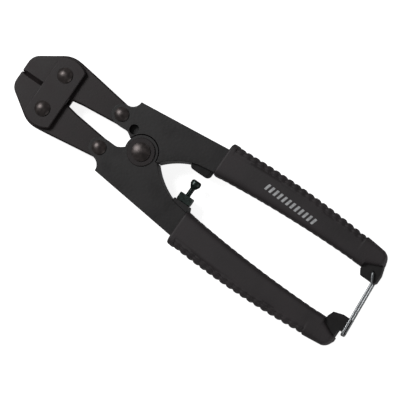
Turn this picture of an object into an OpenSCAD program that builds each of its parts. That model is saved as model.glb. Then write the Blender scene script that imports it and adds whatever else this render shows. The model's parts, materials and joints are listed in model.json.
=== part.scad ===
// Compound-action bolt cutter, pocket size, closed and lying on its back.
// X runs along the tool from the blades to the handle ends, Y is the way the handles open,
// Z is up from the surface that the tool rests on. The two halves mirror each other in Y.

/* [Head] */
// Distance of every pivot from the long axis
pivot_y = 10.1; // [9.9:0.1:10.3]
// Distance of the jaw pivots in front of the centre pivot
jaw_pivot_x = 55; // [54:0.5:56]
// Distance from the centre pivot to the blade tips
tip_x = 75.7; // [75:0.1:76.5]
// Thickness of a jaw
jaw_t = 6; // [5:0.2:6]
// Thickness of each joint plate
plate_t = 2.5; // [2:0.1:2.7]

/* [Handle arms] */
// Distance of the tang pivots in front of the centre pivot
link_x = 19.2; // [19:0.1:19.5]
// Thickness of an arm at the centre pivot
arm_t = 12; // [11.6:0.2:12]
// Thickness of an arm inside its grip
bar_t = 10.4; // [9:0.2:10.4]
// Radius of the fork ears
ear_r = 5.5; // [5.3:0.1:5.5]
// Radius of the half-lap discs at the centre pivot
hub_r = 8.7; // [8:0.1:8.8]

/* [Grips] */
// Thickness of a grip
grip_t = 15.6; // [14:0.2:15.6]
// Distance of the grips' front ends behind the centre pivot
grip_x0 = 36.3; // [36:0.1:37]
// Distance of the grips' rear ends behind the centre pivot
grip_x1 = 123.5; // [122:0.5:124]
// Distance between the ribs along the back of a grip
rib_pitch = 4.1; // [3.8:0.1:4.6]
// Depth of the grooves between the ribs
rib_depth = 0.7; // [0.3:0.1:0.9]

/* [Latch and stop] */
// Diameter of the latch wire
wire_d = 1.4; // [1:0.1:1.6]
// Swing of the latch from its latched place to where it is drawn, in degrees
latch_out = 3.2; // [2.9:0.1:4]
// Height of the stop screw's tip above its lowest place
screw_out = 0; // [0:0.1:1]

/* [Hidden] */
$fn = 64;

gap = 0.1;                              // between faces that slide on each other
run = 0.05;                             // radial play of a pin in its bore
eps = 0.01;
rest_z = 7.8;                           // from the mid-plane down to the resting surface
nose_x = 133.8;                         // rear end of the upper arm
mid_x = 29.85;                          // half way between the blade tips and the latch wire

jaw_pivot = [-jaw_pivot_x, pivot_y];
tang_pivot = [-link_x, pivot_y];
jaw_bolt_r = 2.5;
link_bolt_r = 2;
centre_bolt_r = 3;
open_pivot_play = 0.25;                 // the upper jaw's bore closes the linkage, so it is loose
plate_z = jaw_t / 2 + gap;              // inner faces of the joint plates
plate_top = plate_z + plate_t;
fork_z = jaw_t / 2 + gap;               // inner faces of the fork ears

nose_r = 7;                             // round outer corner of a blade's nose
nose_c = [nose_r - tip_x, 5.3];
tip_r = 1;                              // small corner where the nose meets the cutting edge
shoulder_c = [-54.5, 6.6];              // round shoulder over the jaw pivot
shoulder_r = 13.7;
root_c = [-44.5, 10.6];                 // where the tang leaves the shoulder
root_r = 8.4;
tang_r = ear_r - 0.2;
knuckle_r = pivot_y - 0.17;
edge_y = 0.05;                          // half the space left between the closed blades
blade_x = -62;                          // rear end of the cutting edge
bevel = 1.5;                            // width of the ground bevels, and how deep they go
bevel_z = 2;

back_c = [72, 31.3];                    // highest point of a grip's back, and its radius
back_r = 467;
palm_c = [110, 15.15];                  // lowest point of a grip's inner side, and its radius
palm_r = 649;
bar_back = 4.6;                         // rubber over the bar's back and over its inner side
bar_palm = 1.6;
grip_edge = 1.3;                        // chamfer round a grip's faces

pad_z = 4.5;
screw_x = 31.1;
screw_r = 1.35;
nut_lo = -8.9;                          // the lock nut's seat and top, along Y
nut_hi = -4.7;

wire_r = wire_d / 2;
wire_z = bar_t / 2 + 0.3 + wire_r;      // legs pass outside the nose and the hook
wire_pivot = [129.8, 16];
wire_knee = [132.1, 11];
wire_end = [132.7, -18.05];             // crossbar when latched, under the hook
corner_r = 1.6;

end_c = [127, 23.5];                    // rounded end of a grip's back
end_r = 4.6;
nose_low_c = [nose_x - end_r, 16];
lip_r = 2.1;                            // lower grip's lip, under the notch for the wire
lip_c = [132.4 - lip_r, 22.4];
mouth_y = 16.8;                         // the grips end on a slant, which bares the nose and the hook
mouth_rise = 0.5;

function polar(a) = [cos(a), sin(a)];
function bend(p, q, r, t) = (1 - t) * (1 - t) * p + 2 * t * (1 - t) * q + t * t * r;
function arc_top(c, r, x) = c[1] - r + sqrt(r * r - (x - c[0]) * (x - c[0]));
// Points along an arc, one every 6 degrees or so
function arc(c, r, a0, a1) =
    let (n = ceil(abs(a1 - a0) / 6)) [for (i = [0:n]) c + r * polar(a0 + (a1 - a0) * i / n)];
// Direction in which two circles' common tangent lies: side 1 is above, side -1 below
function tangent(c1, r1, c2, r2, side) =
    let (d = c2 - c1) atan2(d[1], d[0]) + side * acos((r1 - r2) / norm(d));

function mouth(x) = mouth_y + mouth_rise * (x - grip_x1);

// Moves a shape from the centre pivot's frame to the row's frame
module place() {
    translate([-mid_x, 0, rest_z]) children();
}

module slab(z0, z1) {
    translate([0, 0, z0]) linear_extrude(z1 - z0) children();
}

module rod(r, z0, z1) {
    translate([0, 0, z0]) cylinder(r = r, h = z1 - z0);
}

module box2(x0, y0, x1, y1) {
    translate([x0, y0]) square([x1 - x0, y1 - y0]);
}

// Flat-bottomed dome with a short straight rim, standing on z = 0
module dome(r, h) {
    rim = 0.5;
    rise = h - rim;
    ball = (r * r + rise * rise) / (2 * rise);
    cylinder(r = r, h = rim + eps);
    rotate_extrude() intersection() {
        translate([0, h - ball]) circle(ball, $fn = 128);
        box2(0, rim, r, h);
    }
}

module bolt(p, r, z0, z1, head_r, head_h) {
    translate(p) {
        rod(r, z0, z1);
        translate([0, 0, z1]) dome(head_r, head_h);
    }
}

module hex_nut(p, flats, bore, z0, z1) {
    translate([p[0], p[1], z0]) difference() {
        cylinder(d = flats / cos(30), h = z1 - z0, $fn = 6);
        translate([0, 0, -1]) cylinder(r = bore, h = z1 - z0 + 2);
    }
}

// Upper jaw: blade along the axis, knuckle round its pivot, tang back to the arm
module jaw_outline() {
    above_nose = tangent(nose_c, nose_r, shoulder_c, shoulder_r, 1);
    above_shoulder = tangent(shoulder_c, shoulder_r, root_c, root_r, 1);
    above_tang = tangent(root_c, root_r, tang_pivot, tang_r, 1);
    below_tang = tangent(root_c, root_r, tang_pivot, tang_r, -1);
    polygon(concat(
        arc([tip_r - tip_x, edge_y + tip_r], tip_r, 270, 180),
        arc(nose_c, nose_r, 180, above_nose),
        arc(shoulder_c, shoulder_r, above_nose, above_shoulder),
        arc(root_c, root_r, above_shoulder, above_tang),
        arc(tang_pivot, tang_r, above_tang, below_tang),
        [[-40, 2.66]],
        arc(jaw_pivot, knuckle_r, -80, -110),
        [[-58.4, 1.6], [blade_x + 1, 1.6], [blade_x, edge_y]]
    ));
}

module blade_bevels() {
    for (side = [0, 1])
        mirror([0, 0, side])
            translate([-tip_x - 1, 0, 0]) rotate([90, 0, 90])
                linear_extrude(tip_x + 1 + blade_x)
                    polygon([[edge_y - 1, jaw_t / 2 - bevel_z], [edge_y, jaw_t / 2 - bevel_z],
                        [edge_y + bevel, jaw_t / 2], [edge_y + bevel, jaw_t / 2 + eps],
                        [edge_y - 1, jaw_t / 2 + eps]]);
}

module jaw(pivot_play) {
    difference() {
        slab(-jaw_t / 2, jaw_t / 2) jaw_outline();
        blade_bevels();
        translate(jaw_pivot) rod(jaw_bolt_r + pivot_play, -jaw_t, jaw_t);
        translate(tang_pivot) rod(link_bolt_r + run, -jaw_t, jaw_t);
    }
}

module upper_jaw() {
    color("#37332f") place() jaw(open_pivot_play);
}

module lower_jaw() {
    color("#37332f") place() mirror([0, 1, 0]) jaw(run);
}

module plate_outline() {
    inset = 1;
    r = shoulder_r - inset;
    reach = acos(7.9 / r);
    upper = arc(shoulder_c, r, 180 - reach, reach);
    difference() {
        polygon(concat(upper, [for (i = [len(upper) - 1:-1:0]) [upper[i][0], -upper[i][1]]]));
        for (side = [-1, 1]) translate([-jaw_pivot_x, side * pivot_y]) circle(jaw_bolt_r + 0.02);
    }
}

module front_joint_plate() {
    color("#3a3634") place() slab(plate_z, plate_top) plate_outline();
}

module rear_joint_plate() {
    color("#3a3634") place() slab(-plate_top, -plate_z) plate_outline();
}

module jaw_bolt() {
    bolt(jaw_pivot, jaw_bolt_r, -rest_z, plate_top, 4, 1.9);
}

module jaw_nut() {
    hex_nut(jaw_pivot, 8, jaw_bolt_r + 0.02, -rest_z, -plate_top);
}

module upper_jaw_bolt() {
    color("#403c3a") place() jaw_bolt();
}

module lower_jaw_bolt() {
    color("#403c3a") place() mirror([0, 1, 0]) jaw_bolt();
}

module upper_jaw_nut() {
    color("#2e2b2a") place() jaw_nut();
}

module lower_jaw_nut() {
    color("#2e2b2a") place() mirror([0, 1, 0]) jaw_nut();
}

// Upper arm in front of its grip: ear, neck, and the edge that curves away from the axis
module arm_outline() {
    steps = 10;
    fillet_r = 5.1;
    fillet_c = [-link_x - 0.3, pivot_y + ear_r + fillet_r];
    polygon(concat(
        arc(fillet_c, fillet_r, 1, -87),
        arc(tang_pivot, ear_r, 93, 270),
        [[-14.6, 4.8], [-11.8, 4.6], [-10, 3.6], [-8.2, 2.2], [0, 1]],
        [for (i = [0:steps]) bend([9.75, edge_y], [16.5, 7.6], [27, 10.8], i / steps)],
        [[grip_x0, 12.3], [grip_x0, 26]]
    ));
}

// The bar that the grip is moulded on, smaller than the grip all round
module bar_outline(play) {
    intersection() {
        difference() {
            translate([back_c[0], back_c[1] - back_r]) circle(back_r - bar_back + play, $fn = 256);
            translate([palm_c[0], palm_c[1] - palm_r]) circle(palm_r + bar_palm - play, $fn = 256);
        }
        box2(grip_x0 - 2, 5, 127, 40);
    }
}

// Rear end of the upper arm, which carries the latch; its tongue runs on inside the grip
module nose_outline() {
    slant = tangent(end_c, end_r, nose_low_c, end_r, 1);
    tongue = [[grip_x1, 23], [129.3, 23], [131.1, mouth(131.1)], [132.4, mouth(132.4)]];
    polygon(concat(
        tongue,
        arc(nose_low_c, end_r, slant, 0),
        arc([nose_x - corner_r, 11.3 + corner_r], corner_r, 0, -90),
        [[125.2, 11.3], [grip_x1, 14]]
    ));
}

// Rear end of the lower arm, drawn for the upper side: hook, notch for the wire, and tongue
module hook_outline() {
    hook_x = nose_x - 0.3;
    hook_y = 9.2;
    notch_x = 131.7;
    notch_y = 16.9;
    r = 1.2;
    polygon(concat(
        [[grip_x1, 14], [124.8, 10.8], [129.8, hook_y]],
        arc([hook_x - r, hook_y + r], r, -90, 0),
        arc([hook_x - r, notch_y - r], r, 0, 90),
        [[notch_x, notch_y], [notch_x, mouth(notch_x)], [130.3, mouth(130.3)], [129, 23], [grip_x1, 23]]
    ));
}

// One arm: the hub is a half-lap, so the upper arm's disc lies behind and the lower arm's in front
module arm() {
    difference() {
        union() {
            slab(-arm_t / 2, arm_t / 2) arm_outline();
            slab(-bar_t / 2, bar_t / 2) {
                bar_outline(0);
                children();
            }
            rod(hub_r, -arm_t / 2, -gap / 2);
        }
        rod(hub_r + 0.4, -gap / 2, arm_t);
        rod(centre_bolt_r + run, -arm_t, arm_t);
        translate(tang_pivot) rod(ear_r + 0.4, -fork_z, fork_z);
        translate(tang_pivot) rod(link_bolt_r + 0.02, -arm_t, arm_t);
        translate([-9.5, 7.4]) rod(2.5, 2.6, arm_t);
    }
}

module upper_handle_arm() {
    color("#2c292a") place() difference() {
        arm() nose_outline();
        translate(wire_pivot) rod(wire_r + run, -arm_t, arm_t);
    }
}

module lower_handle_arm() {
    color("#2c292a") place() difference() {
        union() {
            rotate([180, 0, 0]) arm() hook_outline();
            slab(-5, 5) polygon([[25.6, -13], [27, nut_lo], [35.2, nut_lo], [36.2, -11], [36.2, -13.5]]);
        }
        translate([screw_x, 0]) rotate([90, 0, 0]) rod(screw_r + run, -nut_lo - 1, 20.5);
    }
}

module centre_bolt() {
    color("#403c3a") place() bolt([0, 0], centre_bolt_r, -rest_z, arm_t / 2 + 0.7, 4.8, 1.6);
}

module centre_washer() {
    color("#35312f") place() difference() {
        rod(7.2, arm_t / 2, arm_t / 2 + 0.7);
        rod(centre_bolt_r + 0.02, 0, arm_t);
    }
}

module centre_nut() {
    color("#2e2b2a") place() hex_nut([0, 0], 10, centre_bolt_r + 0.02, -rest_z, -arm_t / 2);
}

module link_bolt() {
    bolt(tang_pivot, link_bolt_r, -rest_z, arm_t / 2, 3.7, 1.6);
}

module link_nut() {
    hex_nut(tang_pivot, 7, link_bolt_r + 0.02, -rest_z, -arm_t / 2);
}

module upper_link_bolt() {
    color("#4a4645") place() link_bolt();
}

module lower_link_bolt() {
    color("#4a4645") place() mirror([0, 1, 0]) link_bolt();
}

module upper_link_nut() {
    color("#2e2b2a") place() link_nut();
}

module lower_link_nut() {
    color("#2e2b2a") place() mirror([0, 1, 0]) link_nut();
}

// Rear end of a grip, which turns from the back's rounded end to a lower circle
module grip_end(inset, low_c, low_r) {
    slant = tangent(end_c, end_r, low_c, low_r, 1);
    polygon(concat(
        [[grip_x0, 0], [grip_x0, 40], [end_c[0] + (end_r - inset) * cos(85), 40]],
        arc(end_c, end_r - inset, 85, slant),
        arc(low_c, low_r - inset, slant, 0),
        [[low_c[0] + low_r - inset, 0]]
    ));
}

// A grip's side view; inset draws the smaller outline of its chamfered faces
module grip_outline(inset, low_c, low_r) {
    groove_r = 1.3;
    land = 0.35;                        // the ribs' tops lie this far below the collar
    rib_x1 = grip_x1 - 5.5;
    difference() {
        intersection() {
            translate([back_c[0], back_c[1] - back_r]) circle(back_r - inset, $fn = 256);
            box2(grip_x0 + inset, 5, nose_x, 40);
            grip_end(inset, low_c, low_r);
        }
        translate([palm_c[0], palm_c[1] - palm_r]) circle(palm_r + inset, $fn = 256);
        polygon([[grip_x1 - inset, 0], [grip_x1 - inset, mouth(grip_x1) + inset],
            [nose_x + 1, mouth(nose_x + 1) + inset], [nose_x + 1, 0]]);
        difference() {
            box2(grip_x0 + 3, 20, rib_x1, 40);
            translate([back_c[0], back_c[1] - back_r]) circle(back_r - land - inset, $fn = 256);
        }
        for (x = [grip_x0 + 3.4:rib_pitch:rib_x1 - 0.5])
            translate([x, arc_top(back_c, back_r, x) + groove_r - rib_depth - land - inset])
                circle(groove_r, $fn = 24);
    }
}

module grip(low_c, low_r) {
    difference() {
        union() {
            slab(-grip_t / 2, grip_t / 2) grip_outline(grip_edge, low_c, low_r);
            slab(-grip_t / 2 + grip_edge / 2, grip_t / 2 - grip_edge / 2)
                grip_outline(grip_edge / 3, low_c, low_r);
            slab(-grip_t / 2 + grip_edge, grip_t / 2 - grip_edge) grip_outline(0, low_c, low_r);
        }
        slab(-bar_t / 2 - gap / 2, bar_t / 2 + gap / 2) {
            bar_outline(gap / 2);
            children();
        }
    }
}

module upper_grip() {
    color("#302e2f") place() grip(nose_low_c, end_r) nose_outline();
}

module lower_grip() {
    color("#302e2f") place() mirror([0, 1, 0]) grip(lip_c, lip_r) hook_outline();
}

// Bumper pad, seated on the upper arm's inner edge
module stop_pad() {
    front = [24.2, 9.6];
    rear = [34.8, 10.2];
    front_r = 1.9;
    rear_r = 2.6;
    color("#1e1c1c") place() difference() {
        slab(-pad_z, pad_z) polygon(concat(
            [[rear[0], 13.4], [front[0], 13.4]],
            arc(front + [front_r, 0], front_r, 180, 270),
            arc(rear - [rear_r, 0], rear_r, 270, 360)
        ));
        slab(-pad_z - 1, pad_z + 1) arm_outline();
    }
}

// Stop screw: threaded stem, and a flared tip that meets the pad
module stop_screw() {
    tip_r = 2.7;
    color("#252b29") place() translate([screw_x, screw_out]) rotate([-90, 0, 0]) {
        rod(screw_r, -17, 0);
        translate([0, 0, -0.4]) cylinder(r1 = screw_r, r2 = tip_r, h = 2);
        rod(tip_r, 1.6, 3);
        translate([0, 0, 3 - eps]) cylinder(r1 = tip_r, r2 = 1.9, h = 1.1);
    }
}

module stop_lock_nut() {
    color("#201e1e") place() translate([screw_x, 0]) rotate([90, 0, 0])
        hex_nut([0, 0], 7.6, screw_r + run, -nut_hi, -nut_lo);
}

module wire_run(p, q) {
    d = q - p;
    length = norm(d);
    translate(p) rotate([0, acos(d[2] / length), atan2(d[1], d[0])]) cylinder(r = wire_r, h = length);
    translate(q) sphere(wire_r + 0.03);
}

// Spring wire bail: ends turned into the nose, a knee, two straight legs and a crossbar
module latch_wire() {
    stub = bar_t / 2 - 2.4;
    color("#b9bcc0") place() translate(wire_pivot) rotate(latch_out) translate(-wire_pivot) {
        for (side = [-1, 1]) {
            points = [
                [wire_pivot[0], wire_pivot[1], side * stub], [wire_pivot[0], wire_pivot[1], side * wire_z],
                [wire_knee[0], wire_knee[1], side * wire_z], [wire_end[0], wire_end[1], side * wire_z]
            ];
            for (i = [0:2]) wire_run(points[i], points[i + 1]);
        }
        wire_run([wire_end[0], wire_end[1], -wire_z], [wire_end[0], wire_end[1], wire_z]);
    }
}

upper_jaw();
lower_jaw();
front_joint_plate();
rear_joint_plate();
upper_jaw_bolt();
lower_jaw_bolt();
upper_jaw_nut();
lower_jaw_nut();
upper_handle_arm();
lower_handle_arm();
centre_bolt();
centre_washer();
centre_nut();
upper_link_bolt();
lower_link_bolt();
upper_link_nut();
lower_link_nut();
upper_grip();
lower_grip();
stop_pad();
stop_screw();
stop_lock_nut();
latch_wire();
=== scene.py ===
import json
from math import acos, asin, atan2, ceil, cos, degrees, pi, radians, sin, tan

import bmesh
import bpy
import numpy as np
from bpy.props import FloatProperty, FloatVectorProperty, PointerProperty
from mathutils import Matrix, Vector


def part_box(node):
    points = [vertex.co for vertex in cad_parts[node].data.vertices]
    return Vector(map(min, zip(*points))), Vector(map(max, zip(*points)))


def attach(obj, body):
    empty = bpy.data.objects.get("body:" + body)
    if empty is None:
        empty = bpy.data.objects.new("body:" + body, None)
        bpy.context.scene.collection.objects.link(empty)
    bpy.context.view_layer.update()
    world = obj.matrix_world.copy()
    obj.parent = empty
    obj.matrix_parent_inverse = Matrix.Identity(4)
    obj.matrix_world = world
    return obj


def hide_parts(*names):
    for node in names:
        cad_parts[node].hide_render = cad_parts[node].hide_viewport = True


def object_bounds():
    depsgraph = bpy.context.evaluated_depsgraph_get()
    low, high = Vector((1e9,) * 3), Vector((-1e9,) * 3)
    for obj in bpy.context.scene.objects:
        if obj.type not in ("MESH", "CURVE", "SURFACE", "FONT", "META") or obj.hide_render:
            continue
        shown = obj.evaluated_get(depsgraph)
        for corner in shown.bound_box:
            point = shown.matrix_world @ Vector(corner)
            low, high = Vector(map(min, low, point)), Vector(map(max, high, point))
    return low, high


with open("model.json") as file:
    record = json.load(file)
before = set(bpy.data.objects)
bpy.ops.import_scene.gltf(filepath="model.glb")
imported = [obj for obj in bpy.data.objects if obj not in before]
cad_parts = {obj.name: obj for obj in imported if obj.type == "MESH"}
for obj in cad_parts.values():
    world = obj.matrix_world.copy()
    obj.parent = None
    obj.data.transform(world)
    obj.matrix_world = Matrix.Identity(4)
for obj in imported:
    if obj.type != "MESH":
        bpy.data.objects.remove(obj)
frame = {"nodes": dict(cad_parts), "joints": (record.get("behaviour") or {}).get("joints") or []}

bl_info = {
    "name": "Bolt Cutters",
    "version": (1, 0, 0),
    "blender": (4, 5, 0),
    "location": "3D View > Sidebar > Bolt Cutters",
    "description": "Builds a pocket bolt cutter's visible pieces around its packed frame",
    "category": "Object",
}

CAD_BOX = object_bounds()
MM = 0.001
JOINTS = {joint["name"]: joint for joint in frame["joints"]}


def pivot_place(joint):
    """A joint's place in millimetres from the centre pivot."""
    place = np.array(JOINTS[joint]["pos_m"]) - np.array(JOINTS["handle_pivot"]["pos_m"])
    return place / MM


CENTRE = np.array(JOINTS["handle_pivot"]["pos_m"])      # the centre pivot, in the row's frame
TANG = pivot_place("upper_jaw_pivot")[:2]
JAW = pivot_place("joint_plate_pivot")[:2] * [1, -1]
LATCH = pivot_place("latch_swing")[:2]


def span(node):
    """Lowest and highest corner of a CAD node, in millimetres from the centre pivot."""
    low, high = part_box(node)
    return (np.array(low) - CENTRE) / MM, (np.array(high) - CENTRE) / MM


REST_Z = span("lower_grip")[0][2]
JAW_HALF = span("upper_jaw")[1][2]
PLATE_IN, PLATE_OUT = span("front_joint_plate")[0][2], span("front_joint_plate")[1][2]
ARM_HALF = span("upper_handle_arm")[1][2]
GRIP_LOW, GRIP_HIGH = span("upper_grip")

# The outline's circles, in millimetres from the centre pivot
BLADE_X = -62.0                  # rear end of the cutting edge
NOSE_R, NOSE_Y = 7.0, 5.3        # outer corner of a jaw's nose
TIP_R = 1.0                      # corner where the nose meets the cutting edge
SHOULDER, SHOULDER_R = np.array([-54.5, 6.6]), 13.7      # over the jaw pivot
ROOT, ROOT_R = np.array([-44.5, 10.6]), 8.4              # where the tang leaves the shoulder
PLATE_R, PLATE_CORNER = 12.65, 1.6                       # a plate's arc about the shoulder's centre
BACK_TOP, BACK_R = np.array([72.0, 31.3]), 467.0         # highest point of a grip's back
PALM_LOW, PALM_R = np.array([110.0, 15.15]), 649.0       # lowest point of a grip's inner side
GRIP_X1 = 123.5                  # where the grips' inner sides end
MOUTH_Y, MOUTH_RISE = 16.8, 0.5  # the slanting end that bares the nose and the hook
GRIP_END, GRIP_END_R = (127.0, 23.5), 4.6                # rear corner of a grip's back
UPPER_TURN, LOWER_TURN = ((129.2, 16.0), 4.6), ((130.3, 22.4), 2.1)    # and the circle under it
GRIP_FRONT_EASE = 1.1
GRIP_POWER = 5.5                 # of the superellipse that a grip's sections follow
LATCH_OUT = 3.2                  # degrees that the wire is drawn outside its seat
LATCH_KNEE, LATCH_FOOT = np.array([132.1, 11.0]), np.array([132.7, -18.05])    # when seated
LATCH_STUB = 3.4                 # length of the ends turned into the nose
LATCH_BEND_R = 1.3
AIM_OFFSET = (37.4, -3.0, 0.0)   # what the camera looks at


# ---------------------------------------------------------------- colour and material nodes

def linear(code):
    """An sRGB hex colour as linear red, green and blue."""
    parts = [int(code[i:i + 2], 16) / 255 for i in (1, 3, 5)]
    return tuple(c / 12.92 if c <= 0.04045 else ((c + 0.055) / 1.055) ** 2.4 for c in parts)


def rgba(colour, factor=1.0):
    """A linear colour times a factor, with full alpha, for a shader socket."""
    return (*(min(1.0, c * factor) for c in colour), 1.0)


def add(tree, kind, settings, **links):
    """Adds a node and gives its first output. settings holds properties by their name and unlinked sockets
    by their label or number; links name the sockets the same way, with _ for a space and i3 for number 3."""
    node = tree.nodes.new(kind)
    for key, value in settings.items():
        if isinstance(key, str) and hasattr(node, key):
            setattr(node, key, value)
        else:
            node.inputs[key].default_value = value
    for key, source in links.items():
        socket = int(key[1:]) if key[1:].isdigit() else key.replace("_", " ")
        tree.links.new(source, node.inputs[socket])
    return next(output for output in node.outputs if output.enabled)


def dark_coat(name, colour, patch, grain, depth, rough, metallic=0.0, shade=(0.85, 1.2), edge_wear_and_highlight=0.0,
              stretch=(1, 1, 1)):
    """The dark finishes' shared recipe. Patches some millimetres wide shift the colour and the roughness,
    a fine grain dents the surface by depth, and edge_wear_and_highlight lightens the colour on edges where
    the normal of a rounded edge leaves the true one: partly bared metal from wear and partly a painted
    highlight along the edges."""
    material = bpy.data.materials.new(name)
    material.use_nodes = True
    tree = material.node_tree
    shader = tree.nodes["Principled BSDF"]
    shader.inputs["Metallic"].default_value = metallic
    place = tree.nodes.new("ShaderNodeTexCoord").outputs["Object"]
    millimetres = add(tree, "ShaderNodeMapping", {"Scale": [axis / MM for axis in stretch]}, Vector=place)
    patches = add(tree, "ShaderNodeTexNoise", {"Scale": 1 / patch, "Detail": 4.0}, Vector=millimetres)
    grains = add(tree, "ShaderNodeTexNoise", {"Scale": 1 / grain, "Detail": 2.0}, Vector=millimetres)
    amount = add(tree, "ShaderNodeMapRange", {"From Min": 0.35, "From Max": 0.68}, Value=patches)
    mixing = {"data_type": "RGBA", 6: rgba(colour, shade[0]), 7: rgba(colour, shade[1])}
    tint = add(tree, "ShaderNodeMix", mixing, i0=amount)
    # lighter colour on rounded edges: partly wear, partly a painted highlight along the edges
    if edge_wear_and_highlight:
        soft = add(tree, "ShaderNodeBevel", {"samples": 4, "Radius": 0.6 * MM})
        hard = tree.nodes.new("ShaderNodeNewGeometry").outputs["Normal"]
        turned = tree.nodes.new("ShaderNodeVectorMath")
        turned.operation = "DOT_PRODUCT"
        tree.links.new(soft, turned.inputs[0])
        tree.links.new(hard, turned.inputs[1])
        edge = add(tree, "ShaderNodeMapRange", {"From Min": 0.98, "From Max": 0.84},
                   Value=turned.outputs["Value"])
        rubbed = add(tree, "ShaderNodeMapRange", {"From Min": 0.45, "From Max": 0.62, "To Max": edge_wear_and_highlight},
                     Value=patches)
        share = add(tree, "ShaderNodeMath", {"operation": "MULTIPLY"}, i0=edge, i1=rubbed)
        # painted highlight and wear: edges mixed towards four times the base colour, in patches
        tint = add(tree, "ShaderNodeMix", {"data_type": "RGBA", 7: rgba(colour, 4.0)}, i0=share, i6=tint)
    tree.links.new(tint, shader.inputs["Base Color"])
    gloss_range = {"From Min": 0.3, "From Max": 0.7, "To Min": rough[0], "To Max": rough[1]}
    gloss = add(tree, "ShaderNodeMapRange", gloss_range, Value=patches)
    tree.links.new(gloss, shader.inputs["Roughness"])
    dents = add(tree, "ShaderNodeBump", {"Strength": 0.7, "Distance": depth * MM}, Height=grains)
    tree.links.new(dents, shader.inputs["Normal"])
    return material


def phosphated_forging(colours):
    """Forged tool steel, shot-blasted and manganese phosphated: dull warm black with a crystal sheen and
    0.5 mm dimples, drawn coarser than the real 0.2 mm grit so that they show."""
    return dark_coat("black phosphated forging", colours.forging, patch=7.0, grain=0.5, depth=0.05,
                     rough=(0.42, 0.56), metallic=0.3, shade=(0.75, 1.3), edge_wear_and_highlight=0.5)


def enamelled_steel(colours):
    """Baked enamel over a forged handle: satin black with 1.2 mm orange peel and a few lighter edges, partly
    rubbed wear and partly painted highlight.
    """
    return dark_coat("black enamelled steel", colours.enamel, patch=12.0, grain=1.2, depth=0.05,
                     rough=(0.36, 0.5), edge_wear_and_highlight=0.35)


def black_oxide(colours):
    """Hot black oxide on turned bolts and nuts: smoother and more metallic than the forgings round them."""
    return dark_coat("black oxide fasteners", colours.bolt, patch=2.5, grain=0.7, depth=0.02,
                     rough=(0.28, 0.42), metallic=0.7, shade=(0.7, 1.3), edge_wear_and_highlight=0.4)


def black_oxide_screw(colours):
    """Oiled black oxide on the stop screw: a greener, darker black, glossy where oil lies in the thread."""
    return dark_coat("oiled black oxide screw", colours.screw, patch=2.0, grain=0.5, depth=0.02,
                     rough=(0.22, 0.36), metallic=0.6, shade=(0.8, 1.4), edge_wear_and_highlight=0.3)


def moulded_vinyl(colours):
    """Dip-moulded PVC: matt black with the mould's spark grain, drawn at 0.55 mm so that it shows, and
    slightly polished high spots from handling."""
    return dark_coat("moulded black vinyl", colours.vinyl, patch=16.0, grain=0.55, depth=0.09,
                     rough=(0.5, 0.64), shade=(0.85, 1.25))


def stop_rubber(colours):
    """Nitrile rubber bumper: very matt black with a soft uneven skin."""
    return dark_coat("black nitrile rubber", colours.rubber, patch=3.0, grain=0.9, depth=0.08,
                     rough=(0.7, 0.85))


def zinc_wire(colours):
    """Drawn spring wire, bright zinc plated: silvery, with drawing lines 0.2 mm apart along its legs."""
    return dark_coat("zinc plated spring wire", colours.zinc, patch=3.0, grain=0.8, depth=0.015,
                     rough=(0.26, 0.4), metallic=1.0, shade=(0.75, 1.1), stretch=(4, 0.25, 4))


def silver_print(colours):
    """Pad-printed silver ink: thin, flat and slightly patchy over the grip's grain."""
    return dark_coat("silver printed ink", colours.ink, patch=0.8, grain=0.55, depth=0.02,
                     rough=(0.4, 0.5), metallic=0.2, shade=(0.7, 1.05))


FINISHES = {
    "forging": phosphated_forging, "enamel": enamelled_steel, "oxide": black_oxide,
    "screw": black_oxide_screw, "vinyl": moulded_vinyl, "rubber": stop_rubber, "zinc": zinc_wire,
    "ink": silver_print,
}


def finish_of(name):
    """The named finish, made the first time it is asked for."""
    key = "finish_" + name
    found = bpy.data.materials.get(bpy.context.scene.get(key, ""))
    if found is None:
        found = FINISHES[name](bpy.context.scene.bolt_cutter_colours)
        bpy.context.scene[key] = found.name
    return found


# ---------------------------------------------------------------- outlines, in millimetres

def polar(angle):
    """Unit vectors at angles in degrees."""
    angle = np.radians(np.asarray(angle, float))
    return np.stack([np.cos(angle), np.sin(angle)], -1)


def arc(centre, radius, start, end, step=3.0):
    """Points along an arc from start to end degrees, about step degrees apart."""
    count = max(2, int(ceil(abs(end - start) / step)) + 1)
    return np.asarray(centre, float) + radius * polar(np.linspace(start, end, count))


def tangent(c1, r1, c2, r2, side):
    """Direction in degrees of two circles' common tangent: side 1 is above, -1 below."""
    d = np.subtract(c2, c1)
    return degrees(atan2(d[1], d[0])) + side * degrees(acos((r1 - r2) / np.hypot(*d)))


def rounded(corners, radii, step=8.0):
    """A polygon with each corner replaced by an arc of its radius, tangent to both sides."""
    corners = np.asarray(corners, float)
    out = []
    for before, corner, after, radius in zip(np.roll(corners, 1, 0), corners, np.roll(corners, -1, 0), radii):
        a, b = before - corner, after - corner
        a, b = a / np.hypot(*a), b / np.hypot(*b)
        half = acos(np.clip(a @ b, -1, 1)) / 2
        if radius <= 0 or half > 1.55:
            out.append(corner[None])
            continue
        middle = corner + (a + b) / np.hypot(*(a + b)) * radius / sin(half)
        first, last = corner + a * radius / tan(half) - middle, corner + b * radius / tan(half) - middle
        start = degrees(atan2(first[1], first[0]))
        turn = (degrees(atan2(last[1], last[0])) - start + 180) % 360 - 180
        out.append(arc(middle, radius, start, start + turn, step))
    return np.concatenate(out)


def even(points, spacing):
    """A closed outline's points moved to even spacing along it."""
    loop = np.vstack([points, points[:1]])
    length = np.concatenate([[0], np.cumsum(np.hypot(*np.diff(loop, axis=0).T))])
    count = int(length[-1] / spacing)
    at = np.linspace(0, length[-1], count, endpoint=False)
    return np.stack([np.interp(at, length, loop[:, k]) for k in (0, 1)], 1)


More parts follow.
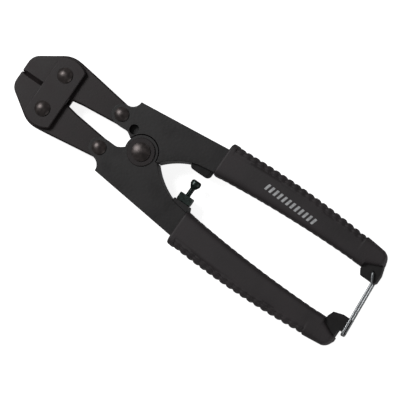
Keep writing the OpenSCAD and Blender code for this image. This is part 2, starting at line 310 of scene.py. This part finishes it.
def inward(points):
    """Unit normals of a closed outline that point into it."""
    along = np.roll(points, -1, 0) - np.roll(points, 1, 0)
    along /= np.hypot(*along.T)[:, None]
    area = np.sum(points[:, 0] * np.roll(points[:, 1], -1) - points[:, 1] * np.roll(points[:, 0], -1))
    normal = np.stack([-along[:, 1], along[:, 0]], 1)
    return normal if area > 0 else -normal


# ---------------------------------------------------------------- surfaces

def rings_mesh(rings):
    """Closed shell from rings of points (ring, point, xyz): quads between rings, and a face on each end."""
    rings = np.asarray(rings, float)
    count, size = rings.shape[:2]
    ring, point = np.meshgrid(np.arange(count - 1), np.arange(size), indexing="ij")
    here, beside = ring * size + point, ring * size + (point + 1) % size
    sides = np.stack([here, beside, beside + size, here + size], -1).reshape(-1, 4)
    first, last = np.arange(size)[::-1], (count - 1) * size + np.arange(size)
    return rings.reshape(-1, 3), [*sides.tolist(), first.tolist(), last.tolist()]


def slab_rings(outline, low, high, edge, drop=None, chamfer=0.0, steps=5):
    """An outline carried up from low to high with eased edges. A point at angle a of the easing is
    inset by edge (1 - sin a) and lies drop (1 - cos a) inside the face; chamfer 1 makes it straight."""
    edge = np.broadcast_to(np.asarray(edge, float), len(outline))
    drop = edge if drop is None else np.broadcast_to(np.asarray(drop, float), len(outline))
    share = np.linspace(0, 1, steps + 1)[:, None]
    turn = share * pi / 2
    inset = edge * ((1 - chamfer) * (1 - np.sin(turn)) + chamfer * (1 - share))
    sink = drop * ((1 - chamfer) * (1 - np.cos(turn)) + chamfer * share)
    normal = inward(outline)
    flat = outline[None] + normal[None] * inset[..., None]
    lower = np.concatenate([flat, (low + sink)[..., None]], -1)
    upper = np.concatenate([flat, (high - sink)[..., None]], -1)[::-1]
    return np.concatenate([lower, upper])


def turned_rings(profile, around=64):
    """A profile of (radius, height) points turned about Z: x = r cos a, y = r sin a, z = height."""
    radius, height = np.asarray(profile, float).T
    angle = np.linspace(0, 2 * pi, around, endpoint=False)
    across = radius[:, None, None] * np.stack([np.cos(angle), np.sin(angle)], -1)[None]
    up = np.broadcast_to(height[:, None, None], (*across.shape[:2], 1))
    return np.concatenate([across, up], -1)


def swept_rings(path, radius, around=20):
    """A circle carried along a path, in planes square to it. Its first axis is square to the path and to
    X, which the path never follows: point = path + radius (cos a side + sin a other)."""
    along = np.gradient(path, axis=0)
    along /= np.linalg.norm(along, axis=1)[:, None]
    side = np.cross(along, [1.0, 0.0, 0.0])
    side /= np.linalg.norm(side, axis=1)[:, None]
    other = np.cross(along, side)
    angle = np.linspace(0, 2 * pi, around, endpoint=False)[None, :, None]
    turn = np.cos(angle) * side[:, None] + np.sin(angle) * other[:, None]
    return path[:, None] + turn * radius


def volume_of(points, faces):
    """Signed volume of a closed shell, positive where its faces point outwards."""
    total = 0.0
    for face in faces:
        corner = points[face]
        total += np.sum(np.cross(corner[1:-1], corner[2:]) @ corner[0])
    return total / 6


def mesh_from(name, shells):
    """One mesh from closed shells in millimetres from the centre pivot, each turned to face outwards."""
    points, faces, start = [], [], 0
    for rings in shells:
        corner, quads = rings_mesh(rings)
        if volume_of(corner, quads) < 0:
            quads = [face[::-1] for face in quads]
        points.append(corner)
        faces += [[i + start for i in face] for face in quads]
        start += len(corner)
    mesh = bpy.data.meshes.new(name)
    mesh.from_pydata((np.concatenate(points) * MM + CENTRE).tolist(), [], faces)
    mesh.validate()
    return mesh


def show(name, mesh, finish, body, nodes=(), crease=35.0, flat=True):
    """Puts a mesh in the scene with its finish, on its body, in the place of the CAD nodes it stands for."""
    mesh.shade_smooth()
    mesh.set_sharp_from_angle(angle=radians(crease))
    piece = bpy.data.objects.new(name, mesh)
    bpy.context.scene.collection.objects.link(piece)
    mesh.materials.append(finish_of(finish))
    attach(piece, body)
    if nodes:
        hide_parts(*nodes)
    if flat:
        weighted = piece.modifiers.new("flat faces", "WEIGHTED_NORMAL")
        weighted.keep_sharp = True
    return piece


def mirrored(rings):
    """The same shell on the other side of the long axis."""
    return np.asarray(rings) * [1, -1, 1]


def at(rings, place):
    """A shell moved to a place given in millimetres from the centre pivot."""
    return np.asarray(rings) + np.array([*place[:2], 0.0 if len(place) == 2 else place[2]])


# ---------------------------------------------------------------- head

def jaw_outline():
    """Outline of the upper jaw. Circles at the nose, shoulder, root and tang are joined by tangents; the
    inner edge is the straight blade, a relief, the knuckle about the jaw pivot, and the tang."""
    low, high = span("upper_jaw")
    tip, tang_r = low[0], high[0] - TANG[0]
    nose = (tip + NOSE_R, NOSE_Y)
    above_nose = tangent(nose, NOSE_R, SHOULDER, SHOULDER_R, 1)
    above_shoulder = tangent(SHOULDER, SHOULDER_R, ROOT, ROOT_R, 1)
    above_tang = tangent(ROOT, ROOT_R, TANG, tang_r, 1)
    below_tang = tangent(ROOT, ROOT_R, TANG, tang_r, -1)
    heel, knuckle_r, relief_x, relief_y = [-40.0, 2.66], JAW[1] - 0.17, -58.4, 1.6
    return np.concatenate([
        arc((tip + TIP_R, TIP_R), TIP_R, 270, 180),
        arc(nose, NOSE_R, 180, above_nose),
        arc(SHOULDER, SHOULDER_R, above_nose, above_shoulder),
        arc(ROOT, ROOT_R, above_shoulder, above_tang),
        arc(TANG, tang_r, above_tang, below_tang),
        [heel],
        arc(JAW, knuckle_r, -80, -110),
        [[relief_x, relief_y], [BLADE_X + 1, relief_y], [BLADE_X, 0.0]],
    ])


def jaw_rings():
    """The jaw's outline carried through its thickness. Along the blade the rounding of the edge turns into a
    straight ground bevel."""
    outline = even(jaw_outline(), 0.3)
    sizes = bpy.context.scene.bolt_cutter_sizes
    ease = sizes.forging_edge / MM
    from_tip = np.clip((outline[:, 0] - span("upper_jaw")[0][0] - 0.9) / 1.5, 0, 1)
    from_rear = np.clip((BLADE_X + 0.5 - outline[:, 0]) / 0.5, 0, 1)
    blade = from_tip * from_rear * np.clip(1 - outline[:, 1], 0, 1)
    edge = ease + (sizes.blade_bevel / MM - ease) * blade
    drop = ease + (sizes.blade_depth / MM - ease) * blade
    return slab_rings(outline, -JAW_HALF, JAW_HALF, edge, drop, blade)


class BOLTCUTTER_OT_jaws(bpy.types.Operator):
    """Forged jaws: blades that meet on the axis, knuckles, and tangs back to the handle arms"""
    bl_idname = "boltcutter.jaws"
    bl_label = "Jaws"

    def execute(self, context):
        rings = jaw_rings()
        show("upper_jaw_forging", mesh_from("upper_jaw_forging", [rings]), "forging",
             "upper_jaw", ["upper_jaw"])
        show("lower_jaw_forging", mesh_from("lower_jaw_forging", [mirrored(rings)]), "forging",
             "lower_jaw", ["lower_jaw"])
        return {"FINISHED"}


def plate_outline():
    """Outline of a joint plate: an arc over each jaw's shoulder, straight ends, and corner circles that
    touch both the arc and an end from inside."""
    low, high = span("front_joint_plate")
    ends = np.array([high[0] - PLATE_CORNER, low[0] + PLATE_CORNER])
    rise = np.sqrt((PLATE_R - PLATE_CORNER) ** 2 - (ends - SHOULDER[0]) ** 2)
    corners = np.stack([ends, SHOULDER[1] + rise], 1)
    lean = [degrees(atan2(y, x)) for x, y in corners - SHOULDER]
    upper = np.concatenate([
        arc(corners[0], PLATE_CORNER, 0, lean[0], 10),
        arc(SHOULDER, PLATE_R, lean[0], lean[1]),
        arc(corners[1], PLATE_CORNER, lean[1], 180, 10),
    ])
    return np.concatenate([upper, upper[::-1] * [1, -1]])


def plate_rings(low, high):
    """A joint plate's outline carried through its thickness, with eased edges."""
    ease = bpy.context.scene.bolt_cutter_sizes.plate_edge / MM
    return slab_rings(even(plate_outline(), 0.4), low, high, ease)


class BOLTCUTTER_OT_joint_plates(bpy.types.Operator):
    """Front and rear plates that tie the two jaw pivots together"""
    bl_idname = "boltcutter.joint_plates"
    bl_label = "Joint Plates"

    def execute(self, context):
        for name, low, high in (("front", PLATE_IN, PLATE_OUT), ("rear", -PLATE_OUT, -PLATE_IN)):
            node = f"{name}_joint_plate"
            show(f"{name}_plate_forging", mesh_from(node, [plate_rings(low, high)]), "forging",
                 "joint_plates", [node])
        return {"FINISHED"}


# ---------------------------------------------------------------- fasteners

def dome_profile(radius, low, high, shank, shank_low):
    """Half section of a bolt: shank with an eased end, flat under the head, short rim, spherical dome."""
    rim = low + 0.5
    rise = high - rim
    ball = (radius ** 2 + rise ** 2) / (2 * rise)
    sweep = np.linspace(asin(min(1, radius / ball)), 0.02, 14)
    dome = np.stack([ball * np.sin(sweep), high - ball + ball * np.cos(sweep)], 1)
    return np.concatenate([
        [[shank - 0.35, shank_low], [shank, shank_low + 0.35], [shank, low]],
        [[radius - 0.2, low], [radius, low + 0.2], [radius, rim]],
        dome[1:],
    ])


def nut_rings(flats, low, high, bore):
    """A hex nut turned about Z. Its side follows the hexagon's radius, flats/2 / cos(a), where a is the angle
    from the nearest flat's middle, and each face is coned back 30 degrees outside a circle."""
    angle = np.linspace(0, 2 * pi, 96, endpoint=False)
    off = (angle + pi / 6) % (pi / 3) - pi / 6
    hexagon = flats / 2 / np.cos(off)
    circle = flats / 2 * 0.97
    fall = (hexagon - circle) * tan(radians(30))
    rows = [(bore, low + 0.3), (bore + 0.3, low), (circle, low), (hexagon, low + fall),
            (hexagon, high - fall), (circle, high), (bore + 0.3, high), (bore, high - 0.3)]
    rings = []
    for radius, height in rows:
        radius, height = np.broadcast_to(radius, angle.shape), np.broadcast_to(height, angle.shape)
        rings.append(np.stack([radius * np.cos(angle), radius * np.sin(angle), height], 1))
    return np.array(rings)


BOLTS = (
    # name, body, place, width across the nut's flats, shank radius
    ("upper_jaw", "joint_plates", JAW, 8.0, 2.5),
    ("lower_jaw", "joint_plates", JAW * [1, -1], 8.0, 2.5),
    ("upper_link", "upper_handle", TANG, 7.0, 2.0),
    ("lower_link", "lower_handle", TANG * [1, -1], 7.0, 2.0),
    ("centre", "lower_handle", np.zeros(2), 10.0, 3.0),
)


class BOLTCUTTER_OT_fasteners(bpy.types.Operator):
    """Domed pivot bolts, their chamfered nuts, and the centre washer"""
    bl_idname = "boltcutter.fasteners"
    bl_label = "Pivot Bolts and Nuts"

    def execute(self, context):
        washer_low, washer_high = span("centre_washer")
        faces = {"upper_jaw": PLATE_OUT, "lower_jaw": PLATE_OUT, "centre": washer_high[2]}
        for name, body, place, flats, shank in BOLTS:
            low, high = span(f"{name}_bolt")
            radius = (high[0] - low[0]) / 2
            seat = faces.get(name, ARM_HALF)
            profile = dome_profile(radius, seat, high[2], shank, REST_Z + 0.1)
            show(f"{name}_pivot_bolt", mesh_from(name, [at(turned_rings(profile), place)]), "oxide",
                 body, [f"{name}_bolt"])
            low, high = span(f"{name}_nut")
            rings = nut_rings(flats, low[2], high[2], shank - 0.05)
            show(f"{name}_pivot_nut", mesh_from(name, [at(rings, place)]), "oxide",
                 body, [f"{name}_nut"])
        radius, low, high = washer_high[0], washer_low[2], washer_high[2]
        profile = [[2.9, low], [radius - 0.15, low], [radius, low + 0.15], [radius, high - 0.25],
                   [radius - 0.25, high], [2.9, high]]
        show("centre_pivot_washer", mesh_from("washer", [turned_rings(profile, 96)]), "forging",
             "lower_handle", ["centre_washer"])
        return {"FINISHED"}


# ---------------------------------------------------------------- handles

def merged_copy(node):
    """A copy of a CAD node's mesh with its corners welded and its flat faces joined."""
    mesh = frame["nodes"][node].data.copy()
    mesh.materials.clear()
    work = bmesh.new()
    work.from_mesh(mesh)
    bmesh.ops.remove_doubles(work, verts=work.verts, dist=2e-6)
    bmesh.ops.dissolve_limit(work, angle_limit=radians(0.5), verts=work.verts, edges=work.edges)
    work.to_mesh(mesh)
    work.free()
    mesh.name = node + "_forging"
    return mesh


def ease_edges(piece, width, steps=3, angle=40.0):
    """Rounds a piece's sharp edges and keeps its flat faces flat."""
    bevel = piece.modifiers.new("eased edges", "BEVEL")
    bevel.width = width
    bevel.segments = steps
    bevel.limit_method = "ANGLE"
    bevel.angle_limit = radians(angle)
    bevel.miter_outer = "MITER_ARC"
    weighted = piece.modifiers.new("flat faces", "WEIGHTED_NORMAL")
    weighted.keep_sharp = True


class BOLTCUTTER_OT_handle_arms(bpy.types.Operator):
    """Forged handle arms, half-lapped at the centre pivot, with the latch nose and hook at their ends"""
    bl_idname = "boltcutter.handle_arms"
    bl_label = "Handle Arms"

    def execute(self, context):
        sizes = context.scene.bolt_cutter_sizes
        for name in ("upper", "lower"):
            node = f"{name}_handle_arm"
            piece = show(f"{name}_arm_forging", merged_copy(node), "enamel",
                         f"{name}_handle", [node], crease=50.0, flat=False)
            ease_edges(piece, sizes.arm_edge)
        return {"FINISHED"}


def grip_rings(turn_c, turn_r):
    """A grip carried along the tool. Each section is a superellipse between the inner side and the back,
    |y|^5.5 + |z|^5.5 = 1, so its corners are full. The back has a collar, then rounded ribs that fade out
    on the faces. At the rear the back turns down round two circles to meet the slanting mouth."""
    sizes = bpy.context.scene.bolt_cutter_sizes
    front, half, end = GRIP_LOW[0], GRIP_HIGH[2], GRIP_FRONT_EASE
    slant = tangent(GRIP_END, GRIP_END_R, turn_c, turn_r, 1)
    turn_down = np.concatenate([arc(GRIP_END, GRIP_END_R, 85, slant), arc(turn_c, turn_r, slant, 5)])
    reach_x = np.arange(front + end + 0.25, turn_down[-1, 0], 0.25)
    bow = np.linspace(0, pi / 2, 7)
    x = np.concatenate([front + end * (1 - np.cos(bow)), reach_x])
    back = BACK_TOP[1] - BACK_R + np.sqrt(BACK_R ** 2 - (x - BACK_TOP[0]) ** 2)
    turned = np.interp(x, *turn_down.T)
    back = np.where(x < turn_down[0, 0], back, np.minimum(back, turned))
    palm = PALM_LOW[1] - PALM_R + np.sqrt(PALM_R ** 2 - (x - PALM_LOW[0]) ** 2)
    mouth = MOUTH_Y + MOUTH_RISE * (x - GRIP_X1)
    palm += (mouth - palm) * np.clip((x - GRIP_X1 + 0.25) / 0.5, 0, 1)
    kept = back - palm > 1.0
    x, back, palm = x[kept], back[kept], palm[kept]
    left = np.clip((x[-1] + 0.3 - x) / 2.2, 0, 1)
    inset = np.concatenate([end * (1 - np.sin(bow)), np.zeros(len(x) - len(bow))])
    inset_z = inset + 2.0 * (1 - np.sqrt(1 - (1 - left) ** 2))

    angle = np.linspace(0, 2 * pi, 112, endpoint=False)
    power = 2 / GRIP_POWER
    across = np.sign(np.cos(angle)) * np.abs(np.cos(angle)) ** power
    up = np.sign(np.sin(angle)) * np.abs(np.sin(angle)) ** power
    ribbed = np.clip((x - front - 3.0) / 0.4, 0, 1) * np.clip((GRIP_X1 - 5.5 - x) / 0.8, 0, 1)
    groove = 0.5 + 0.5 * np.cos(2 * pi * (x - front - 3.4) / (sizes.rib_pitch / MM))
    depth = ribbed * (0.35 + sizes.rib_depth / MM * groove ** 1.5)
    y = ((back + palm) / 2)[:, None] + ((back - palm) / 2 - inset)[:, None] * across
    z = (half - inset_z)[:, None] * up
    near_back = np.clip((y - (back - 3.8)[:, None]) / 1.0, 0, 1)
    near_palm = np.clip(((palm + 1.4)[:, None] - y) / 0.8, 0, 1)
    line = np.exp(-(((back - 4.3)[:, None] - y) / 0.3) ** 2) * ribbed[:, None]
    z -= np.sign(z) * (0.6 * depth[:, None] * near_back + 0.35 * line) * np.clip(np.abs(up) * 1.5, 0, 1)
    y -= depth[:, None] * near_back * np.abs(across) ** 3
    y += 0.25 * depth[:, None] * near_palm * np.abs(across) ** 3
    y += np.sign(across) * 0.1 * np.exp(-(z / 0.25) ** 2)      # parting line of the mould
    return np.stack([np.broadcast_to(x[:, None], y.shape), y, z], -1)


class BOLTCUTTER_OT_grips(bpy.types.Operator):
    """Moulded grips with ribbed backs"""
    bl_idname = "boltcutter.grips"
    bl_label = "Grips"

    def execute(self, context):
        upper = grip_rings(*UPPER_TURN)
        lower = mirrored(grip_rings(*LOWER_TURN))
        show("upper_vinyl_grip", mesh_from("upper_grip", [upper]), "vinyl",
             "upper_handle", ["upper_grip"], crease=50.0)
        show("lower_vinyl_grip", mesh_from("lower_grip", [lower]), "vinyl",
             "lower_handle", ["lower_grip"], crease=50.0)
        return {"FINISHED"}


class BOLTCUTTER_OT_grip_mark(bpy.types.Operator):
    """Plain printed decoration on the upper grip: a row of slanted bars"""
    bl_idname = "boltcutter.grip_mark"
    bl_label = "Grip Decoration"

    def execute(self, context):
        face = GRIP_HIGH[2]
        start, end, low, high = 62.0, 91.5, 19.6, 23.0
        pitch, width, lean, slope = 2.6, 1.35, 1.0, -0.045
        shells = []
        for x in np.arange(start, end, pitch):
            drift = slope * (x - start)
            corners = [[x, low + drift], [x + width, low + drift],
                       [x + width + lean, high + drift], [x + lean, high + drift]]
            bar = even(rounded(corners, [0.2] * 4), 0.15)
            shells.append(slab_rings(bar, face - 0.1, face + 0.04, 0.02, steps=1))
        show("grip_decoration", mesh_from("grip_decoration", shells), "ink", "upper_handle")
        return {"FINISHED"}


# ---------------------------------------------------------------- stop and latch

def stop_screw_rings():
    """The stop screw turned about its axis: a thread whose radius is a rounded zigzag of height and angle,
    and a flared tip. Height runs along Y."""
    low, high = span("stop_screw")
    centre_x = (low[0] + high[0]) / 2
    stem, tip = 1.35, (high[0] - low[0]) / 2
    pitch, depth = 0.7, 0.16
    around = 40
    angle = np.linspace(0, 2 * pi, around, endpoint=False)
    heights = np.arange(low[1] + 0.5, -0.7, pitch / 7)
    phase = (heights[:, None] / pitch - angle[None] / (2 * pi)) % 1
    thread = stem - depth * (1 - np.abs(2 * phase - 1)) ** 1.3
    crown = np.linspace(0.15, 1.35, 7)
    rest = np.concatenate([
        [[stem, -0.4], [stem + 0.5, 0.2], [tip - 0.3, 1.2], [tip, 1.6], [tip, high[1] - 1.2]],
        np.stack([tip - 1.3 + 1.3 * np.cos(crown), high[1] - 1.2 + 1.2 * np.sin(crown)], 1),
        [[0.9, high[1]]],
    ])
    radius = np.concatenate([thread[:1] * 0 + 0.9, thread, np.repeat(rest[:, :1], around, 1)])
    height = np.concatenate([[low[1]], heights, rest[:, 1]])[:, None] + angle[None] * 0
    return np.stack([centre_x + radius * np.cos(angle), height, -radius * np.sin(angle)], -1)


class BOLTCUTTER_OT_stop(bpy.types.Operator):
    """Rubber stop pad, the threaded stop screw that meets it, and the screw's lock nut"""
    bl_idname = "boltcutter.stop"
    bl_label = "Stop Pad and Screw"

    def execute(self, context):
        low, high = span("stop_pad")
        corners = [[low[0], high[1] + 0.6], [low[0], low[1]], [high[0], low[1]], [high[0], high[1] + 0.6]]
        outline = even(rounded(corners, [0.1, 1.9, 2.6, 0.1]), 0.3)
        show("rubber_stop_pad", mesh_from("stop_pad", [slab_rings(outline, low[2], high[2], 0.6)]), "rubber",
             "upper_handle", ["stop_pad"])
        show("threaded_stop_screw", mesh_from("stop_screw", [stop_screw_rings()]), "screw",
             "stop_screw", ["stop_screw"])
        low, high = span("stop_lock_nut")
        nut = nut_rings(min(high[2] - low[2], high[0] - low[0]), low[1], high[1], 1.3)
        centre_x = (low[0] + high[0]) / 2
        nut = np.stack([centre_x + nut[..., 0], nut[..., 2], -nut[..., 1]], -1)
        show("hex_lock_nut", mesh_from("stop_lock_nut", [nut]), "screw",
             "lower_handle", ["stop_lock_nut"])
        return {"FINISHED"}


def bent_path(corners, radius, spacing=0.25):
    """A path through corners in space, with each corner rounded to radius."""
    corners = np.asarray(corners, float)
    pieces = [corners[:1]]
    for before, corner, after in zip(corners, corners[1:], corners[2:]):
        a, b = before - corner, after - corner
        a, b = a / np.linalg.norm(a), b / np.linalg.norm(b)
        reach = radius / tan(acos(np.clip(a @ b, -1, 1)) / 2)
        t = np.linspace(0, 1, 9)[:, None]
        first, last = corner + a * reach, corner + b * reach
        pieces.append((1 - t) ** 2 * first + 2 * t * (1 - t) * corner + t ** 2 * last)
    pieces.append(corners[-1:])
    path = np.concatenate(pieces)
    length = np.concatenate([[0], np.cumsum(np.linalg.norm(np.diff(path, axis=0), axis=1))])
    spots = np.linspace(0, length[-1], int(length[-1] / spacing))
    return np.stack([np.interp(spots, length, path[:, k]) for k in range(3)], 1)


class BOLTCUTTER_OT_latch(bpy.types.Operator):
    """Spring wire bail: ends turned into the nose, a knee, two straight legs and a crossbar"""
    bl_idname = "boltcutter.latch"
    bl_label = "Latch Wire"

    def execute(self, context):
        low, high = span("latch_wire")
        wire = context.scene.bolt_cutter_sizes.wire_diameter / MM / 2
        side = high[2] - wire
        stub = side - LATCH_STUB
        turn = polar(LATCH_OUT)
        spin = np.array([[turn[0], -turn[1]], [turn[1], turn[0]]])
        knee = LATCH + spin @ (LATCH_KNEE - LATCH)
        foot = LATCH + spin @ (LATCH_FOOT - LATCH)
        half = [[*LATCH, stub], [*LATCH, side], [*knee, side], [*foot, side]]
        corners = np.array(half + [[x, y, -z] for x, y, z in half[::-1]])
        path = bent_path(corners, LATCH_BEND_R)
        show("latch_bail", mesh_from("latch_wire", [swept_rings(path, wire)]), "zinc",
             "latch", ["latch_wire"], crease=60.0)
        return {"FINISHED"}


# ---------------------------------------------------------------- stage

def area_light(name, place, aim, size, power):
    """A square soft light at a place in metres, aimed at a point."""
    light = bpy.data.lights.new(name, "AREA")
    light.size, light.energy = size, power       # metres and watts
    lamp = bpy.data.objects.new(name, light)
    lamp.location = place
    lamp.rotation_euler = (Vector(aim) - Vector(place)).to_track_quat("-Z", "Y").to_euler()
    bpy.context.scene.collection.objects.link(lamp)


class BOLTCUTTER_OT_stage(bpy.types.Operator):
    """Pale floor, soft studio light and the camera"""
    bl_idname = "boltcutter.stage"
    bl_label = "Stage"

    def execute(self, context):
        scene = context.scene
        sizes = scene.bolt_cutter_sizes
        scene.view_settings.view_transform = "Standard"
        target = Vector(CENTRE) + Vector(AIM_OFFSET) * MM

        tilt, roll = sizes.camera_tilt, sizes.camera_roll
        along = Vector((cos(tilt), 0, -sin(tilt)))
        across = Vector((0, 1, 0))
        back = Vector((sin(tilt), 0, cos(tilt)))
        right = cos(roll) * along + sin(roll) * across
        up = -sin(roll) * along + cos(roll) * across
        camera = bpy.data.objects.new("camera", bpy.data.cameras.new("camera"))
        camera.data.lens = 200
        reach = sizes.view_width * camera.data.lens / camera.data.sensor_width
        turn = Matrix((right, up, back)).transposed().to_4x4()
        camera.matrix_world = Matrix.Translation(target + back * reach) @ turn
        camera.data.clip_start, camera.data.clip_end = 0.01, 20
        scene.collection.objects.link(camera)
        scene.camera = camera

        area_light("key light", target + up * 0.5 - right * 0.6 + back * 0.6, target, 0.35, 4.6)
        area_light("fill light", target - up * 0.6 + right * 0.5 + back * 0.5, target, 0.6, 1.4)
        world = bpy.data.worlds.new("studio")
        world.use_nodes = True
        background = world.node_tree.nodes["Background"]
        background.inputs["Color"].default_value = (1, 1, 1, 1)
        background.inputs["Strength"].default_value = 0.16
        scene.world = world

        mesh = bpy.data.meshes.new("floor")
        reach, low = 2.0, CAD_BOX[0].z
        corners = [(-reach, -reach, low), (reach, -reach, low), (reach, reach, low), (-reach, reach, low)]
        mesh.from_pydata(corners, [], [(0, 1, 2, 3)])
        floor = bpy.data.objects.new("floor", mesh)
        scene.collection.objects.link(floor)
        paper = bpy.data.materials.new("white paper sweep")
        paper.use_nodes = True
        shader = paper.node_tree.nodes["Principled BSDF"]
        shader.inputs["Base Color"].default_value = rgba(scene.bolt_cutter_colours.paper)
        shader.inputs["Roughness"].default_value = 0.9
        shader.inputs["Specular IOR Level"].default_value = 0.1
        shader.inputs["Emission Color"].default_value = (1, 1, 1, 1)
        shader.inputs["Emission Strength"].default_value = 0.85
        mesh.materials.append(paper)
        floor.visible_glossy = False                     # keeps its glare out of the black side faces
        return {"FINISHED"}


# ---------------------------------------------------------------- settings, panel and run

class BoltCutterSizes(bpy.types.PropertyGroup):
    """Sizes that a user would change."""
    forging_edge: FloatProperty(name="Jaw Edge", description="Easing of the jaws' edges",
                                default=0.8 * MM, min=0.2 * MM, max=1.2 * MM, unit="LENGTH")
    blade_bevel: FloatProperty(name="Blade Bevel", description="Width of the ground bevel along each blade",
                               default=1.2 * MM, min=1 * MM, max=3.5 * MM, unit="LENGTH")
    blade_depth: FloatProperty(name="Blade Depth", description="Depth of the ground bevel along each blade",
                               default=1 * MM, min=0.5 * MM, max=2.5 * MM, unit="LENGTH")
    plate_edge: FloatProperty(name="Plate Edge", description="Easing of the joint plates' edges",
                              default=0.5 * MM, min=0.1 * MM, max=0.9 * MM, unit="LENGTH")
    arm_edge: FloatProperty(name="Arm Edge", description="Easing of the handle arms' edges",
                            default=0.6 * MM, min=0.1 * MM, max=0.9 * MM, unit="LENGTH")
    rib_pitch: FloatProperty(name="Rib Pitch", description="Distance between the grips' ribs",
                             default=4.1 * MM, min=3 * MM, max=6 * MM, unit="LENGTH")
    rib_depth: FloatProperty(name="Rib Depth", description="Depth of the grooves between the grips' ribs",
                             default=0.75 * MM, min=0, max=1 * MM, unit="LENGTH")
    wire_diameter: FloatProperty(name="Wire", description="Diameter of the latch wire",
                                 default=1.4 * MM, min=1 * MM, max=1.6 * MM, unit="LENGTH")
    camera_tilt: FloatProperty(name="Camera Tilt", description="Lean of the view towards the handle ends",
                               default=radians(10.5), unit="ROTATION")
    camera_roll: FloatProperty(name="Camera Roll", description="Turn of the tool in the picture",
                               default=radians(34.6), unit="ROTATION")
    view_width: FloatProperty(name="View Width", description="Width of the picture at the tool",
                              default=200 * MM, unit="LENGTH")


def colour_property(name, description, code):
    """A colour setting whose default is an sRGB hex colour."""
    return FloatVectorProperty(name=name, description=description, default=linear(code),
                               subtype="COLOR", size=3, min=0, max=1)


class BoltCutterColours(bpy.types.PropertyGroup):
    """Base colours of the finishes."""
    forging: colour_property("Forging", "Phosphated head", "#221c1d")
    enamel: colour_property("Enamel", "Enamelled arms", "#141112")
    bolt: colour_property("Bolt", "Black oxide bolts and nuts", "#4a4443")
    vinyl: colour_property("Vinyl", "Moulded grips", "#2b2628")
    screw: colour_property("Screw", "Stop screw", "#28322f")
    rubber: colour_property("Rubber", "Stop pad", "#0d0c0c")
    zinc: colour_property("Zinc", "Latch wire", "#9c9fa1")
    ink: colour_property("Ink", "Printed decoration", "#c9cacc")
    paper: colour_property("Paper", "Floor", "#f4f4f4")


OPERATORS = (
    BOLTCUTTER_OT_stage, BOLTCUTTER_OT_jaws, BOLTCUTTER_OT_joint_plates, BOLTCUTTER_OT_handle_arms,
    BOLTCUTTER_OT_grips, BOLTCUTTER_OT_grip_mark, BOLTCUTTER_OT_fasteners, BOLTCUTTER_OT_stop,
    BOLTCUTTER_OT_latch,
)


class BOLTCUTTER_PT_panel(bpy.types.Panel):
    """Lists the bolt cutter's pieces and its settings"""
    bl_idname = "BOLTCUTTER_PT_panel"
    bl_label = "Bolt Cutters"
    bl_space_type = "VIEW_3D"
    bl_region_type = "UI"
    bl_category = "Bolt Cutters"

    def draw(self, context):
        for group in (context.scene.bolt_cutter_sizes, context.scene.bolt_cutter_colours):
            for name in group.__annotations__:
                self.layout.prop(group, name)
        for operator in OPERATORS:
            self.layout.operator(operator.bl_idname)


CLASSES = (BoltCutterSizes, BoltCutterColours, *OPERATORS, BOLTCUTTER_PT_panel)


def register():
    for cls in CLASSES:
        bpy.utils.register_class(cls)
    bpy.types.Scene.bolt_cutter_sizes = PointerProperty(type=BoltCutterSizes)
    bpy.types.Scene.bolt_cutter_colours = PointerProperty(type=BoltCutterColours)


def unregister():
    del bpy.types.Scene.bolt_cutter_sizes
    del bpy.types.Scene.bolt_cutter_colours
    for cls in reversed(CLASSES):
        bpy.utils.unregister_class(cls)


def main():
    register()
    for operator in OPERATORS:
        group, name = operator.bl_idname.split(".")
        getattr(getattr(bpy.ops, group), name)()


if __name__ == "__main__":
    main()
